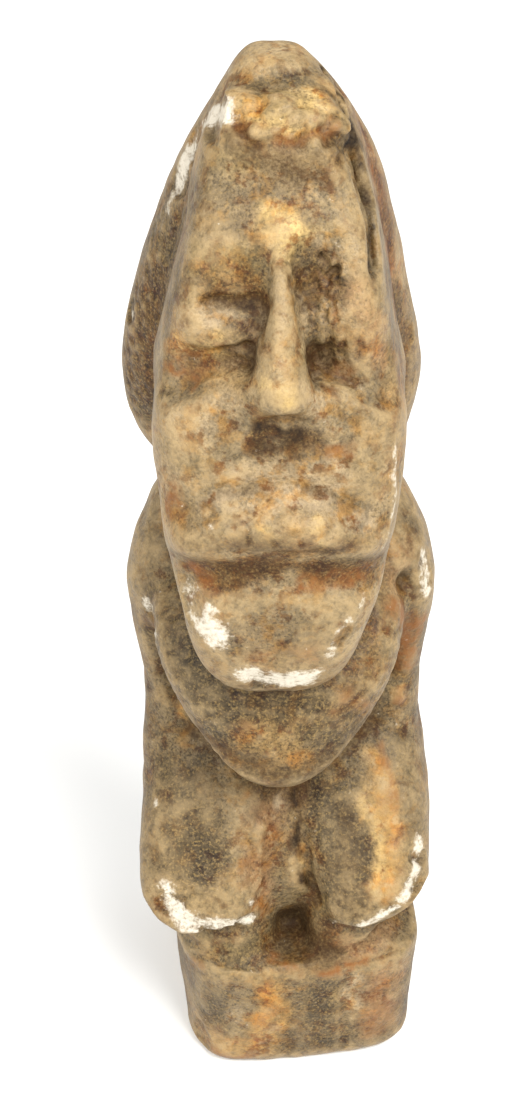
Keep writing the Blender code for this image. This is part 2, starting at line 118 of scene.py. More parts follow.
class Skin:
    """The figure's points in millimetres: across to the right, forward to the viewer, and up."""

    TO_MM = np.array((1000.0, -1000.0, 1000.0))
    RIM_SEED = 7

    def __init__(self, mesh):
        self.mesh = mesh
        corners = np.array([list(corner) for corner in cad_box]) * self.TO_MM
        self.lowest, self.highest = corners.min(axis=0), corners.max(axis=0)
        flat = np.empty(len(mesh.vertices) * 3, np.float32)
        mesh.vertices.foreach_get("co", flat)
        self.points = flat.reshape(-1, 3).astype(float) * self.TO_MM
        pairs = np.empty(len(mesh.edges) * 2, np.int32)
        mesh.edges.foreach_get("vertices", pairs)
        self.one, self.other = pairs.reshape(-1, 2).T
        count = len(self.points)
        self.ways = np.bincount(self.one, minlength=count) + np.bincount(self.other, minlength=count)
        self.read_normals()

    def read_normals(self):
        flat = np.empty(len(self.mesh.vertices) * 3, np.float32)
        self.mesh.vertex_normals.foreach_get("vector", flat)
        self.normals = flat.reshape(-1, 3).astype(float) * (1, -1, 1)

    def write(self):
        """Puts the points back in the mesh, none of them outside the solid's box."""
        self.points = np.clip(self.points, self.lowest, self.highest)
        self.mesh.vertices.foreach_set("co", (self.points / self.TO_MM).astype(np.float32).ravel())
        self.mesh.update()
        self.read_normals()

    def evened(self, points):
        """Each point moved to the middle of its neighbours."""
        even = np.empty_like(points)
        count = len(points)
        for axis in range(3):
            row = points[:, axis]
            there = np.bincount(self.one, row[self.other], count)
            back = np.bincount(self.other, row[self.one], count)
            even[:, axis] = (there + back) / self.ways
        return even

    def press(self, depth):
        """Moves each point inwards by its own depth."""
        self.points -= self.normals * depth[:, None]
        self.write()

    def cut(self, path, width, depth, way=None):
        """A round-bottomed cut along a path, into the surface or along a given way.

        A depth below 0 raises a roll.
        """
        share = depth * np.exp(-((away_from(self.points, path) / width) ** 2))
        if way is None:
            self.press(share)
        else:
            self.points -= np.array(way) * share[:, None]
            self.write()

    def soften(self, zones, passes):
        """Rubs the surface round near each path."""
        share = np.zeros(len(self.points))
        for path, reach in zones:
            share = np.maximum(share, 1 - ramp(away_from(self.points, path), 0.5 * reach, reach))
        for _ in range(passes):
            self.points += share[:, None] * (self.evened(self.points) - self.points)
        self.write()

    def roughen(self, path, reach, size, depth, seed):
        """Coarse broken grain around a path."""
        near = 1 - ramp(away_from(self.points, path), 0.5 * reach, reach)
        self.press(depth * near * uneven(self.points, size, seed))

    def chip(self, place, reach, depth, lean=(0, 0, 0)):
        """A flat break at a place: what stands beyond a plane sunk by depth is taken down to it."""
        off = away_from(self.points, [place])
        nearest = off.argmin()
        around = off < off[nearest] + 0.5 * reach
        direction = self.normals[around].mean(axis=0) + lean
        direction /= np.linalg.norm(direction)
        beyond = (self.points - self.points[nearest]) @ direction + depth
        ragged = off + 0.12 * reach * uneven(self.points, 0.6 * reach, self.RIM_SEED)
        inside = 1 - ramp(ragged, 0.8 * reach, reach)
        self.points -= direction * (np.maximum(beyond, 0) * inside)[:, None]
        self.write()

    def relief(self, passes):
        """How far each point stands over its surroundings, in millimetres. It is below 0 in a hollow."""
        even = self.points
        for _ in range(passes):
            even = self.evened(even)
        return np.einsum("ij,ij->i", self.points - even, self.normals)


stone = Skin(figure.data)
TO_VIEWER = (0.0, 0.79, 0.61)

# The broad forms first. All are rolls that raise the block: a wide lid on the left, shallower hollows on
# the right, a slot that is nearly worn away, a fuller knot, nose and lip, and shallower folds in the lap.
LID = [(-12.4, 12.4, 124.8), (-7.8, 11.4, 124.9), (-4.2, 11.4, 125.6)]
SLOT = [(-11.6, 17.2, 92.2), (-6.0, 18.2, 94.0), (-0.4, 18.4, 94.6), (5.0, 18.2, 94.0), (10.6, 17.6, 92.6)]
HOLLOW = [(-2.6, 16.0, 21.5), (-2.6, 15.6, 26.0), (1.5, 15.4, 28.0), (5.6, 16.4, 26.4), (6.2, 17.0, 21.5)]
for path, width, depth in (
    (LID, 1.9, -1.6),
    ([(-10.8, 12.0, 128.8)], 1.6, -0.7),
    ([(5.2, 10.4, 130.0), (5.6, 11.6, 126.0)], 1.7, -0.8),
    ([(6.8, 12.4, 119.6), (9.6, 13.2, 118.4)], 1.9, -1.3),
    ([(-9.6, 17.6, 93.6), (-0.4, 18.6, 95.2), (8.8, 17.8, 94.0)], 2.6, -2.4),
    ([(-9.4, 19.2, 96.2), (-0.4, 20.4, 97.0), (8.8, 19.2, 96.2)], 2.4, -2.4),
    ([(-6.6, 1.6, 143.6), (-0.5, 3.2, 142.6), (5.4, 2.8, 142.0)], 2.6, -1.5),
    ([(-4.6, 2.8, 145.2), (0.5, 3.4, 145.2), (5.2, 3.0, 144.4)], 2.4, -1.0),
    ([(-9.0, 11.2, 128.4), (-3.4, 11.2, 128.8)], 1.5, -0.9),
    ([(-12.2, 11.6, 120.6), (-8.4, 12.4, 121.2)], 1.5, -0.5),
    ([(-4.2, 16.4, 122.0), (-5.6, 16.8, 117.6)], 1.7, -1.1),
    ([(4.4, 15.8, 122.0), (6.2, 16.6, 117.4)], 1.7, -1.1),
    ([(-3.2, 19.2, 116.2), (-5.6, 18.6, 112.8)], 1.4, -0.9),
    ([(3.4, 18.8, 115.8), (5.6, 18.4, 113.2)], 1.4, -0.9),
    ([(-8.0, 14.0, 57.0), (0.0, 16.0, 54.6), (8.0, 13.6, 57.6)], 3.2, -3.2),
    ([(-3.2, 11.0, 40.0), (-3.0, 13.5, 34.0), (-3.0, 15.0, 29.0)], 1.4, -1.0),
    ([(0.6, 9.0, 42.0), (1.4, 11.4, 37.0), (2.4, 13.0, 32.0)], 1.5, -1.3),
    ([(-1.4, 12.6, 24.6), (3.6, 13.4, 24.6)], 2.4, -2.0),
):
    stone.cut(path, width, depth, TO_VIEWER)
stone.soften(
    (
        (LID, 3.4),
        ([(-12.4, 12.2, 122.6), (-5.0, 13.2, 123.2)], 2.8),
        ([(-2.4, 18.0, 124.0), (-3.8, 19.0, 119.0), (-3.4, 19.0, 116.6)], 2.2),
        ([(2.2, 17.6, 124.0), (3.8, 19.0, 119.0), (3.6, 18.8, 116.0)], 2.2),
        ([(0.8, 8.0, 44.0), (0.6, 11.4, 37.0), (0.6, 14.0, 29.0)], 4.0),
        ([(-10.6, 11.6, 129.6), (-3.0, 11.0, 130.4)], 4.0),
        ([(2.4, 9.4, 133.4), (4.4, 11.0, 127.0), (7.0, 11.4, 128.0)], 5.2),
        ([(3.6, 12.8, 121.2), (8.6, 13.0, 118.6)], 3.6),
        ([(-10.4, 20.6, 98.4), (-0.4, 22.4, 99.0), (9.6, 20.8, 98.2)], 5.0),
        (SLOT, 3.8),
        ([(-6.5, 1.8, 144.4), (0.0, 3.2, 144.0), (5.6, 2.8, 143.4)], 3.6),
        ([(-3.4, 19.4, 116.4), (3.6, 19.0, 115.8)], 3.0),
        ([(-4.4, 16.8, 121.0), (-5.6, 17.2, 117.0)], 2.8),
        ([(4.6, 16.4, 121.0), (6.2, 17.0, 117.0)], 2.8),
        ([(-14.0, 13.4, 115.6), (-9.5, 14.2, 118.4), (-6.0, 14.6, 119.6)], 2.4),
        ([(-16.5, 4.0, 72.0), (-13.0, 12.0, 63.4), (-7.0, 16.6, 58.6), (0.5, 17.8, 56.8)], 4.6),
        ([(0.5, 17.8, 56.8), (8.0, 16.0, 59.6), (13.5, 11.0, 66.0), (16.6, 4.0, 74.0)], 4.6),
        (HOLLOW, 3.8),
        ([(-13.0, 17.4, 19.4), (-3.0, 19.6, 19.6), (8.0, 19.2, 19.4), (16.4, 16.6, 19.4)], 1.8),
    ),
    passes=34,
)

# The slow waviness that a blade and sanding leave all over: 0.13 mm deep and 7 mm wide, and 0.05 by 2.4 mm
stone.press(0.13 * uneven(stone.points, 7.0, 1) + 0.05 * uneven(stone.points, 2.4, 2))

# The hair: a lumpy knot over the brow, a crack that opens into a cleft on the right, and breaks on the left.
KNOT = [(-5.2, 1.4, 146.5), (0.5, 2.0, 147.5), (6.0, 1.6, 145.0)]
CRACK = [(5.0, -8.5, 148.6), (7.2, -2.2, 147.0), (8.5, -1.9, 143.0)]
stone.roughen(KNOT, 5.0, 2.8, 0.35, 3)
stone.roughen(KNOT, 4.5, 1.3, 0.3, 4)
stone.cut([(-1.0, 1.4, 148.4)], 1.4, -0.4)
stone.cut([(4.2, 1.0, 147.8)], 1.4, -0.5)
stone.cut(CRACK, 0.5, 0.9)
stone.cut([(8.8, -0.6, 141.0), (9.4, 0.7, 139.0), (10.4, 1.5, 136.3)], 0.9, 1.9)
stone.cut([(10.4, 1.5, 136.3), (10.8, 4.0, 134.0), (11.0, 7.2, 130.8)], 0.5, 1.2)
stone.chip((-7.6, -1.5, 145.6), 3.8, 0.8, (-0.6, 0, 0.2))
stone.chip((-10.6, -7.4, 139.6), 4.0, 0.6, (-0.4, 0.2, 0))
stone.chip((-12.8, -8.0, 134.2), 3.4, 0.5, (-0.3, 0.3, 0))
stone.chip((-19.3, -9.8, 112.8), 1.8, 0.35)
stone.chip((16.2, -7.8, 110.5), 2.2, 0.35)
stone.roughen([(-13.5, -6.5, 132.0), (-17.0, -7.0, 120.0), (-18.6, -7.0, 100.0)], 6.0, 1.0, 0.07, 8)

# The face: crisp lids, pitted hollows on the right, a ledge at each cheek, and an edge to the upper lip.
stone.cut([(-9.2, 11.6, 128.0), (-6.0, 11.2, 127.8), (-3.2, 11.4, 128.6)], 0.9, 0.7)
stone.cut([(-13.0, 12.6, 122.8), (-8.0, 13.2, 123.0), (-4.4, 13.6, 123.8)], 0.7, -0.2)
stone.cut([(-8.0, 12.6, 122.2), (-3.8, 14.0, 123.2)], 0.7, 0.4)
stone.cut([(-4.0, 13.6, 123.0)], 1.0, 0.9)
for place, width, depth in (
    ((4.6, 9.2, 132.8), 0.45, 1.0),
    ((6.1, 9.7, 131.2), 0.6, 1.3),
    ((5.2, 10.2, 129.8), 0.35, 0.6),
    ((5.3, 11.6, 125.7), 0.5, 0.8),
    ((4.3, 11.4, 126.8), 0.35, 0.6),
    ((3.0, 13.0, 122.0), 1.3, 0.8),
    ((4.6, 12.4, 120.8), 1.5, 0.8),
):
    stone.cut([place], width, depth)
stone.roughen([(2.6, 10.5, 131.0), (4.4, 12.2, 121.0), (8.0, 12.6, 124.0)], 4.6, 0.9, 0.15, 5)
stone.roughen([(5.2, 9.6, 132.0), (5.8, 11.4, 126.4)], 2.2, 0.7, 0.22, 10)
LEDGE_LEFT = [(-14.4, 13.4, 115.0), (-12.3, 14.0, 116.8), (-9.5, 14.4, 118.2), (-5.6, 15.0, 119.3)]
LEDGE_RIGHT = [(4.6, 15.4, 118.6), (7.6, 15.2, 117.8), (11.0, 14.6, 115.4), (13.2, 13.8, 113.4)]
for ledge in (LEDGE_LEFT, LEDGE_RIGHT):
    stone.cut(ledge, 0.6, -0.3)
stone.cut([(-1.0, 12.0, 134.0), (-0.9, 16.5, 128.6), (-0.9, 20.4, 122.8)], 0.7, -0.25)
stone.cut([(-1.6, 19.4, 115.6), (0.0, 20.0, 117.4), (1.8, 19.0, 115.4)], 1.3, 0.9)
LIP_EDGE = [
    (-10.4, 19.2, 102.2),
    (-6.0, 20.2, 104.6),
    (-0.4, 20.6, 105.4),
    (5.7, 20.0, 104.4),
    (9.4, 19.4, 101.8),
]
stone.cut(LIP_EDGE, 0.6, -0.2)
for across in (-7.6, -4.3, -1.2, 2.0, 6.0):
    stone.cut([(across, 22.0, 103.4), (across + 0.2, 23.4, 100.6)], 0.55, 0.2)
stone.roughen(SLOT, 3.0, 1.1, 0.14, 9)
JAW_RIGHT = [
    (14.0, 16.2, 111.0),
    (13.6, 17.2, 103.0),
    (12.8, 19.4, 97.6),
    (10.8, 20.8, 91.0),
    (8.4, 21.8, 87.0),
]
stone.cut(JAW_RIGHT, 0.6, -0.22)
stone.chip((-10.6, 20.8, 88.4), 3.6, 0.6, (-0.3, 0, 0))
stone.chip((-1.6, 22.4, 78.4), 3.6, 0.3, (-0.1, 0.2, -0.3))
stone.chip((7.0, 22.3, 85.2), 1.8, 0.25, (0.3, 0, -0.2))

# The trunk and arms: coarse weathered grain on the chest, and edges rubbed through at the shoulders.
stone.roughen([(-12.0, 12.0, 70.0), (0.0, 17.6, 64.0), (12.0, 12.0, 70.0)], 13.0, 1.0, 0.06, 6)
stone.chip((-17.6, 4.0, 73.0), 2.6, 0.35)
stone.chip((19.4, -1.4, 76.5), 2.6, 0.3)
stone.cut([(16.2, 1.6, 56.8)], 1.1, -0.7)

# The legs: a sharp-edged valley between the thighs, and knees broken away along their lower edges.
VALLEY = [(1.9, 6.8, 44.0), (2.3, 8.5, 41.7), (2.7, 10.9, 38.0), (3.6, 12.6, 33.8), (5.4, 14.0, 29.0)]
stone.cut(VALLEY, 0.5, 1.0)
stone.cut([(3.9, 9.4, 42.0), (4.6, 12.0, 37.4), (6.0, 14.2, 32.0)], 0.8, -0.3)
stone.cut([(-0.8, 14.0, 31.5), (-1.6, 14.8, 27.5)], 0.4, 0.3)
stone.cut([(-15.8, 16.6, 29.6), (-11.0, 18.4, 27.8), (-5.5, 17.2, 26.4)], 0.8, 0.6)
stone.cut([(7.2, 17.0, 26.0), (12.0, 18.0, 27.6), (17.8, 15.8, 30.2)], 0.8, 0.5)
for place, reach, depth in (
    ((-15.4, 17.8, 33.2), 2.6, 0.45),
    ((-12.8, 19.2, 31.4), 2.4, 0.5),
    ((-10.0, 19.6, 30.4), 2.6, 0.45),
    ((-7.4, 19.2, 30.0), 2.2, 0.4),
    ((-4.8, 17.4, 29.0), 2.0, 0.35),
    ((18.8, 15.6, 35.2), 2.2, 0.4),
    ((19.4, 13.0, 37.8), 2.0, 0.35),
    ((16.4, 18.0, 32.6), 1.8, 0.3),
    ((9.6, 18.8, 28.8), 1.8, 0.25),
):
    stone.chip(place, reach, depth, (0, 0.2, -0.35))

# The plinth: a scored line under the shins, and faces dressed with a few broad strokes.
stone.cut([(-13.0, 17.0, 21.0), (-8.0, 18.9, 21.1), (-3.0, 19.4, 21.0)], 0.6, 0.35)
stone.cut([(2.8, 19.6, 20.6), (7.8, 19.2, 20.6), (13.5, 18.0, 20.8), (17.1, 16.2, 21.0)], 0.7, 0.45)
stone.cut([(9.6, 18.8, 19.0), (9.4, 18.4, 3.0)], 0.7, 0.35)
stone.cut([(0.8, 19.6, 12.0), (1.2, 19.4, 2.0)], 0.9, 0.25)
stone.chip((-12.8, 17.6, 4.0), 3.6, 0.5)

# The finished skin is thinned to what a part may have.
figure.data.calc_loop_triangles()
thin = figure.modifiers.new("Thin", "DECIMATE")
thin.ratio = min(1.0, MOST_TRIANGLES / len(figure.data.loop_triangles))
bpy.ops.object.modifier_apply(modifier=thin.name)
bpy.ops.object.shade_smooth()
stone = Skin(figure.data)
stone.write()


def linear(hex_colour):
    """An sRGB hex colour as linear red, green, blue and alpha."""
    parts = [int(hex_colour[i : i + 2], 16) / 255 for i in (1, 3, 5)]
    return tuple(c / 12.92 if c <= 0.04045 else ((c + 0.055) / 1.055) ** 2.4 for c in parts) + (1.0,)


# The colours of the stone, and what has stained it since. BROWN also serves as painted shade under the knot,
# nose and lip, in the mouth and in the hollows.
BUFF = "#78674b"
GREY = "#61523b"
DARK_GREY = "#493a22"
PALE_BUFF = "#8d7a5d"
OCHRE = "#94703a"
YELLOW = "#a88d5a"
RUST = "#784719"
BROWN = "#4a300e"
SLATE = "#393021"
PINK_BUFF = "#785837"
OLIVE = "#6b5936"

LAYERS = ("specks", "broken", "rusty", "dirt_and_shade", "deep_dirt_and_shade", "worn")


class StainsAndShade:
    """The stone's colour, its painted shade and highlight, and how speckled, broken and soiled it is, point
    by point.

    A stain or a patch of painted shade strays from its path by about PATCH_WANDER millimetres, and a break
    by BREAK_WANDER.
    """

    PATCH_WANDER = 0.9
    BREAK_WANDER = 0.35
    COMMON_SPECKS = 0.5

    def __init__(self, skin, ground):
        count = len(skin.points)
        self.skin = skin
        wander = np.column_stack(
            [
                uneven(skin.points, 4.5, seed) + 0.5 * uneven(skin.points, 1.6, seed + 5)
                for seed in (11, 12, 13)
            ]
        )
        self.places = skin.points + self.PATCH_WANDER * wander
        self.edges = skin.points + self.BREAK_WANDER * wander
        self.colour = np.tile(np.array(linear(ground)[:3]), (count, 1))
        self.layers = {name: np.zeros(count) for name in LAYERS}
        self.layers["specks"] += self.COMMON_SPECKS

    def mix_in(self, colour, share):
        self.colour += share[:, None] * (np.array(linear(colour)[:3]) - self.colour)

    def tint(self, colour, path, reach, strength, specks=None):
        """Colours the stone around a path, and sets how speckled it is there."""
        share = strength * (1 - ramp(away_from(self.places, path), 0.25 * reach, reach))
        self.mix_in(colour, share)
        if specks is not None:
            self.layers["specks"] += share * (specks - self.layers["specks"])

    def mark(self, layer, path, reach, strength):
        """Adds to one of the layers around a path."""
        places = self.edges if layer == "broken" else self.places
        share = strength * (1 - ramp(away_from(places, path), 0.25 * reach, reach))
        self.layers[layer] = np.maximum(self.layers[layer], share)

    def keep(self):
        """Writes everything to the mesh for the material to read."""
        rgba = np.column_stack([self.colour, np.ones(len(self.colour))])
        layer = self.skin.mesh.attributes.new("stone_colour", "FLOAT_COLOR", "POINT")
        layer.data.foreach_set("color", rgba.astype(np.float32).ravel())
        for name, values in self.layers.items():
            layer = self.skin.mesh.attributes.new(name, "FLOAT", "POINT")
            layer.data.foreach_set("value", np.clip(values, 0, 1).astype(np.float32))


stains_and_shade = StainsAndShade(stone, BUFF)
tint, mark = stains_and_shade.tint, stains_and_shade.mark

# Clouds of grey, ochre and pale stone run through the whole block
for colour, size, seed, strength in (
    (GREY, 13.0, 21, 0.6),
    (OCHRE, 10.0, 22, 0.35),
    (PALE_BUFF, 8.0, 23, 0.4),
    (DARK_GREY, 6.0, 24, 0.35),
    (OLIVE, 4.0, 25, 0.4),
):
    stains_and_shade.mix_in(colour, strength * ramp(uneven(stone.points, size, seed), 0.1, 1.1))

# The body is darker and more speckled than the head, fading in from 88 mm down to 76 mm
below_chin = 1 - ramp(stone.points[:, 2], 76.0, 88.0)
stains_and_shade.mix_in(DARK_GREY, 0.55 * below_chin)
stains_and_shade.layers["specks"] += 0.2 * below_chin

# The hair
tint(DARK_GREY, [(-14.0, -6.0, 129.0), (-17.5, -7.0, 116.0), (-18.5, -7.0, 100.0)], 9.0, 0.85, 1.0)
tint(BROWN, [(-17.0, -6.0, 118.0), (-18.5, -7.0, 104.0)], 6.0, 0.85, 1.0)
tint(GREY, [(-12.4, -5.6, 132.6), (-14.1, -6.1, 128.0)], 3.4, 0.6, 1.0)
HAIRLINE_LEFT = [(-11.6, 4.6, 133.0), (-13.4, 8.0, 126.0), (-14.4, 10.3, 120.3), (-14.9, 12.0, 116.4)]
tint(DARK_GREY, HAIRLINE_LEFT, 2.4, 0.8, 0.9)
tint(PINK_BUFF, [(9.0, -7.0, 141.0), (12.8, -7.0, 131.0), (14.1, -4.0, 120.0)], 5.0, 0.9, 0.4)
HAIR_RIGHT = [(9.6, -7.0, 139.0), (12.8, -7.0, 131.0), (14.1, -4.0, 120.0)]
tint(BROWN, HAIR_RIGHT, 5.0, 0.5, 0.6)
tint(RUST, HAIR_RIGHT, 5.0, 0.35)
tint(BROWN, [(12.8, -7.4, 129.0), (13.4, -6.6, 124.0)], 2.6, 0.6, 0.9)
tint(BROWN, [(16.0, -6.0, 113.0), (17.0, -8.0, 104.0), (14.5, -4.0, 97.0)], 7.0, 0.7, 1.0)
tint(PALE_BUFF, [(-3.5, -7.0, 151.4), (2.0, -7.0, 151.0)], 5.0, 0.7, 0.6)
tint(SLATE, [(-2.6, -2.7, 149.3), (3.0, -2.4, 148.8)], 3.0, 0.7, 0.6)
tint(YELLOW, [(-3.6, 1.0, 147.6), (0.0, 1.8, 148.3), (4.2, 0.8, 148.0)], 3.0, 0.9, 0.6)
# The knot's lower edge and the brow under it: brown and dirt that are partly painted shade under the knot.
tint(BROWN, [(-5.0, 2.2, 145.0), (0.5, 3.0, 144.6), (5.2, 2.6, 143.6)], 2.6, 0.8, 1.0)
tint(DARK_GREY, [(5.4, 1.6, 146.4), (6.8, 1.4, 144.6), (8.0, 2.0, 141.0)], 2.8, 0.85, 1.0)
mark("rusty", [(-4.2, 2.0, 145.6), (0.5, 2.8, 145.9), (5.0, 2.2, 145.2)], 2.4, 0.8)
mark("dirt_and_shade", [(-5.0, 3.0, 144.2), (0.0, 4.4, 143.8), (5.0, 3.8, 143.2)], 3.0, 0.75)
mark("dirt_and_shade", [(-5.0, 3.4, 142.6), (0.0, 4.6, 142.2), (5.0, 4.0, 141.6)], 2.6, 0.5)
tint(BROWN, [(-5.0, 3.2, 143.4), (0.0, 4.0, 143.0), (5.6, 3.6, 142.4)], 2.8, 0.8, 0.9)
# The crack and the cleft are darkened by dirt and by painted shade.
mark("dirt_and_shade", CRACK, 0.9, 0.8)
mark("dirt_and_shade", [(8.5, -1.9, 143.0), (9.4, 0.7, 139.0), (10.4, 1.5, 136.3)], 2.6, 1.0)
mark("deep_dirt_and_shade", [(8.3, -2.0, 144.0), (8.8, -0.6, 141.0), (9.4, 0.7, 139.0), (10.4, 1.5, 136.3)], 1.6, 1.0)
mark("deep_dirt_and_shade", [(10.8, 4.0, 134.2), (11.0, 7.2, 130.8)], 1.1, 1.0)
mark("deep_dirt_and_shade", [(5.0, -8.5, 148.6), (7.2, -2.2, 147.0), (8.3, -2.0, 144.0)], 0.7, 0.9)
mark("dirt_and_shade", [(4.0, 3.6, 144.0), (6.6, 1.8, 143.8), (7.6, 1.4, 141.6)], 2.2, 0.7)
mark("broken", [(-9.6, -6.6, 142.0), (-8.4, -3.0, 144.6), (-7.0, 0.0, 147.2)], 2.6, 1.0)
mark("broken", [(-10.0, -7.3, 141.0), (-11.9, -8.4, 137.2), (-13.4, -8.0, 133.0)], 2.6, 1.0)
mark("broken", [(-13.4, -8.0, 133.0), (-14.6, -8.0, 129.0)], 1.4, 0.6)
mark("broken", [(-6.8, -8.2, 148.2)], 1.8, 0.6)
mark("broken", [(-19.5, -9.8, 112.8)], 1.6, 0.7)
mark("broken", [(16.2, -7.8, 110.5)], 1.8, 0.7)

# The face
tint(BUFF, [(-7.0, 4.0, 140.8), (3.7, 4.5, 140.7)], 7.0, 0.8, 0.55)
tint(GREY, [(-7.0, 4.0, 140.8), (-1.7, 4.1, 141.3)], 5.0, 0.2, 0.6)
tint(GREY, [(-8.6, 6.4, 138.2), (-5.2, 7.6, 137.6)], 3.2, 0.9, 0.6)
tint(GREY, [(-10.4, 1.5, 140.0), (-10.8, 5.5, 136.0)], 3.4, 0.9, 0.6)
tint(OLIVE, [(-9.0, 1.0, 142.0), (-5.0, 3.0, 142.4)], 4.0, 0.6, 0.5)
tint(GREY, [(-4.0, 8.4, 137.0)], 4.0, 0.5, 0.5)
tint(YELLOW, [(-0.7, 7.7, 138.0), (-0.4, 9.8, 136.5), (0.8, 10.2, 135.4)], 2.6, 1.0, 0.3)
tint(OLIVE, [(-9.9, 9.5, 133.2), (-4.6, 10.5, 133.0)], 4.2, 0.8, 0.6)
tint(OCHRE, [(-9.0, 10.2, 131.6), (-7.0, 10.6, 131.4)], 1.8, 0.6, 0.5)
# Under the left brow and beneath the lid, the brown, the dirt and the darkest marks are partly painted shade
# in the hollows.
tint(BROWN, [(-8.8, 11.4, 129.4), (-5.8, 11.2, 129.2), (-3.0, 11.4, 130.4)], 3.2, 0.9, 1.0)
mark("dirt_and_shade", [(-8.6, 11.4, 128.4), (-5.8, 11.2, 128.0), (-3.4, 11.4, 128.8)], 2.0, 0.8)
tint(PALE_BUFF, LID, 2.2, 1.0, 0.2)
tint(BROWN, [(-11.5, 11.9, 121.4), (-6.4, 13.2, 122.0), (-4.0, 13.9, 123.0)], 3.0, 0.7, 0.9)
tint(OCHRE, [(-12.0, 12.0, 122.2), (-9.4, 13.0, 122.6)], 1.8, 0.9, 0.6)
tint(YELLOW, [(-12.2, 12.0, 121.6), (-8.8, 12.8, 122.0)], 2.6, 0.8, 0.9)
mark("rusty", [(-12.8, 11.6, 120.4), (-10.4, 12.6, 121.0)], 2.2, 0.6)
mark("rusty", [(-13.2, 11.8, 118.6), (-11.6, 12.4, 118.2)], 2.0, 0.8)
mark("dirt_and_shade", [(-5.6, 12.8, 121.8), (-3.6, 14.0, 123.8)], 1.4, 0.25)
mark("deep_dirt_and_shade", [(-4.8, 13.4, 122.4), (-3.6, 14.0, 123.6)], 0.8, 0.2)
mark("deep_dirt_and_shade", [(-8.4, 11.8, 128.2), (-5.8, 11.6, 127.8), (-3.6, 11.8, 128.6)], 1.2, 0.55)
# The right eye's hollows and pits are darkened by dirt and by painted shade.
tint(DARK_GREY, [(2.0, 9.6, 133.6), (2.3, 10.4, 128.0), (2.6, 11.8, 124.0)], 2.8, 0.8, 1.0)
mark("dirt_and_shade", [(2.0, 9.6, 133.0), (2.4, 10.8, 127.4)], 1.6, 0.15)
tint(BROWN, [(4.6, 9.2, 132.4), (5.4, 10.6, 127.0), (6.4, 12.0, 123.4)], 3.2, 0.7, 0.9)
tint(BROWN, [(3.2, 13.2, 121.8), (5.4, 12.2, 119.8)], 2.8, 0.7, 1.0)
mark("dirt_and_shade", [(3.0, 13.3, 122.2), (5.0, 12.4, 120.0)], 1.6, 0.25)
mark("deep_dirt_and_shade", [(4.6, 9.2, 132.8)], 0.9, 1.0)
mark("deep_dirt_and_shade", [(6.1, 9.7, 131.2)], 1.2, 1.0)
mark("deep_dirt_and_shade", [(5.2, 11.8, 125.8)], 0.8, 1.0)
mark("deep_dirt_and_shade", [(4.4, 11.6, 127.0)], 0.6, 0.8)
mark("deep_dirt_and_shade", [(2.6, 13.0, 122.6), (4.4, 12.8, 120.6)], 1.2, 0.25)
mark("rusty", [(6.4, 13.0, 119.6), (10.6, 13.4, 118.2)], 2.2, 0.6)
tint(PINK_BUFF, [(8.4, 12.0, 130.0), (10.3, 13.0, 125.0), (11.2, 12.6, 121.4)], 3.4, 0.8, 0.6)
tint(BROWN, [(12.6, 8.0, 127.0), (13.6, 8.6, 121.0), (14.2, 12.0, 114.0)], 1.8, 0.7, 0.9)
tint(PALE_BUFF, [(-0.6, 13.1, 133.0), (-0.8, 17.0, 128.0), (-1.0, 20.0, 123.6)], 2.2, 0.45, 0.2)
tint(OCHRE, [(0.8, 17.6, 126.0), (0.6, 19.6, 122.6)], 1.6, 0.6, 0.2)
tint(YELLOW, [(-2.4, 20.4, 121.0), (0.6, 21.2, 121.2)], 2.4, 1.0, 0.2)
tint(PALE_BUFF, [(3.0, 18.6, 121.5), (4.4, 18.2, 116.4)], 2.2, 0.8, 0.2)
# Under the nose, the brown, the dirt and the darkest marks are painted shade, with some dirt.
tint(BROWN, [(-3.0, 18.8, 114.0), (0.0, 19.8, 116.0), (2.6, 18.8, 113.4)], 3.0, 0.95, 1.0)
mark("dirt_and_shade", [(-1.8, 19.6, 116.6), (0.2, 19.8, 116.4), (1.8, 18.8, 114.4)], 2.4, 0.95)
mark("dirt_and_shade", [(-3.6, 18.5, 112.6), (3.0, 18.5, 112.2)], 2.2, 0.75)
tint(BROWN, [(-3.8, 18.7, 111.6), (0.0, 18.8, 111.2), (3.6, 18.6, 111.4)], 1.8, 0.5, 0.9)
mark("deep_dirt_and_shade", [(-1.6, 19.6, 115.8), (0.2, 20.0, 116.6), (2.0, 19.2, 115.2)], 1.8, 0.85)
mark("deep_dirt_and_shade", [(2.0, 18.8, 113.4), (-1.6, 18.8, 113.0)], 2.2, 0.6)
mark("rusty", [(-4.4, 18.5, 112.4)], 2.2, 0.6)
tint(PALE_BUFF, [(-11.8, 16.8, 113.6), (-7.0, 17.4, 115.6)], 4.5, 0.7, 0.3)
tint(PALE_BUFF, [(-6.4, 19.0, 108.0), (0.0, 19.2, 107.4), (5.6, 19.2, 107.4)], 3.6, 0.95, 0.25)
tint(BUFF, [(7.4, 17.0, 116.4), (11.0, 17.0, 113.4)], 4.5, 0.7, 0.5)
tint(GREY, [(9.4, 18.6, 107.4), (11.6, 19.6, 101.6)], 3.6, 0.6, 0.9)
mark("rusty", [(4.6, 19.0, 110.6), (7.4, 18.8, 110.6)], 1.8, 0.7)
mark("rusty", [(-14.0, 17.4, 105.4), (-13.9, 17.8, 101.6)], 1.8, 0.7)
# The pale line along the lip's top edge is a painted highlight where the surface turns from facing up.
tint(PALE_BUFF, LIP_EDGE, 1.8, 0.9, 0.1)
for across, colour in ((-6.0, PALE_BUFF), (-2.7, YELLOW), (0.4, OCHRE), (4.0, YELLOW), (7.8, PALE_BUFF)):
    tint(colour, [(across, 22.4, 103.2), (across, 23.2, 101.2)], 1.7, 0.9, 0.2)
    tint(BROWN, [(across + 1.8, 22.2, 103.0), (across + 1.8, 23.0, 101.4)], 0.9, 0.6, 0.6)
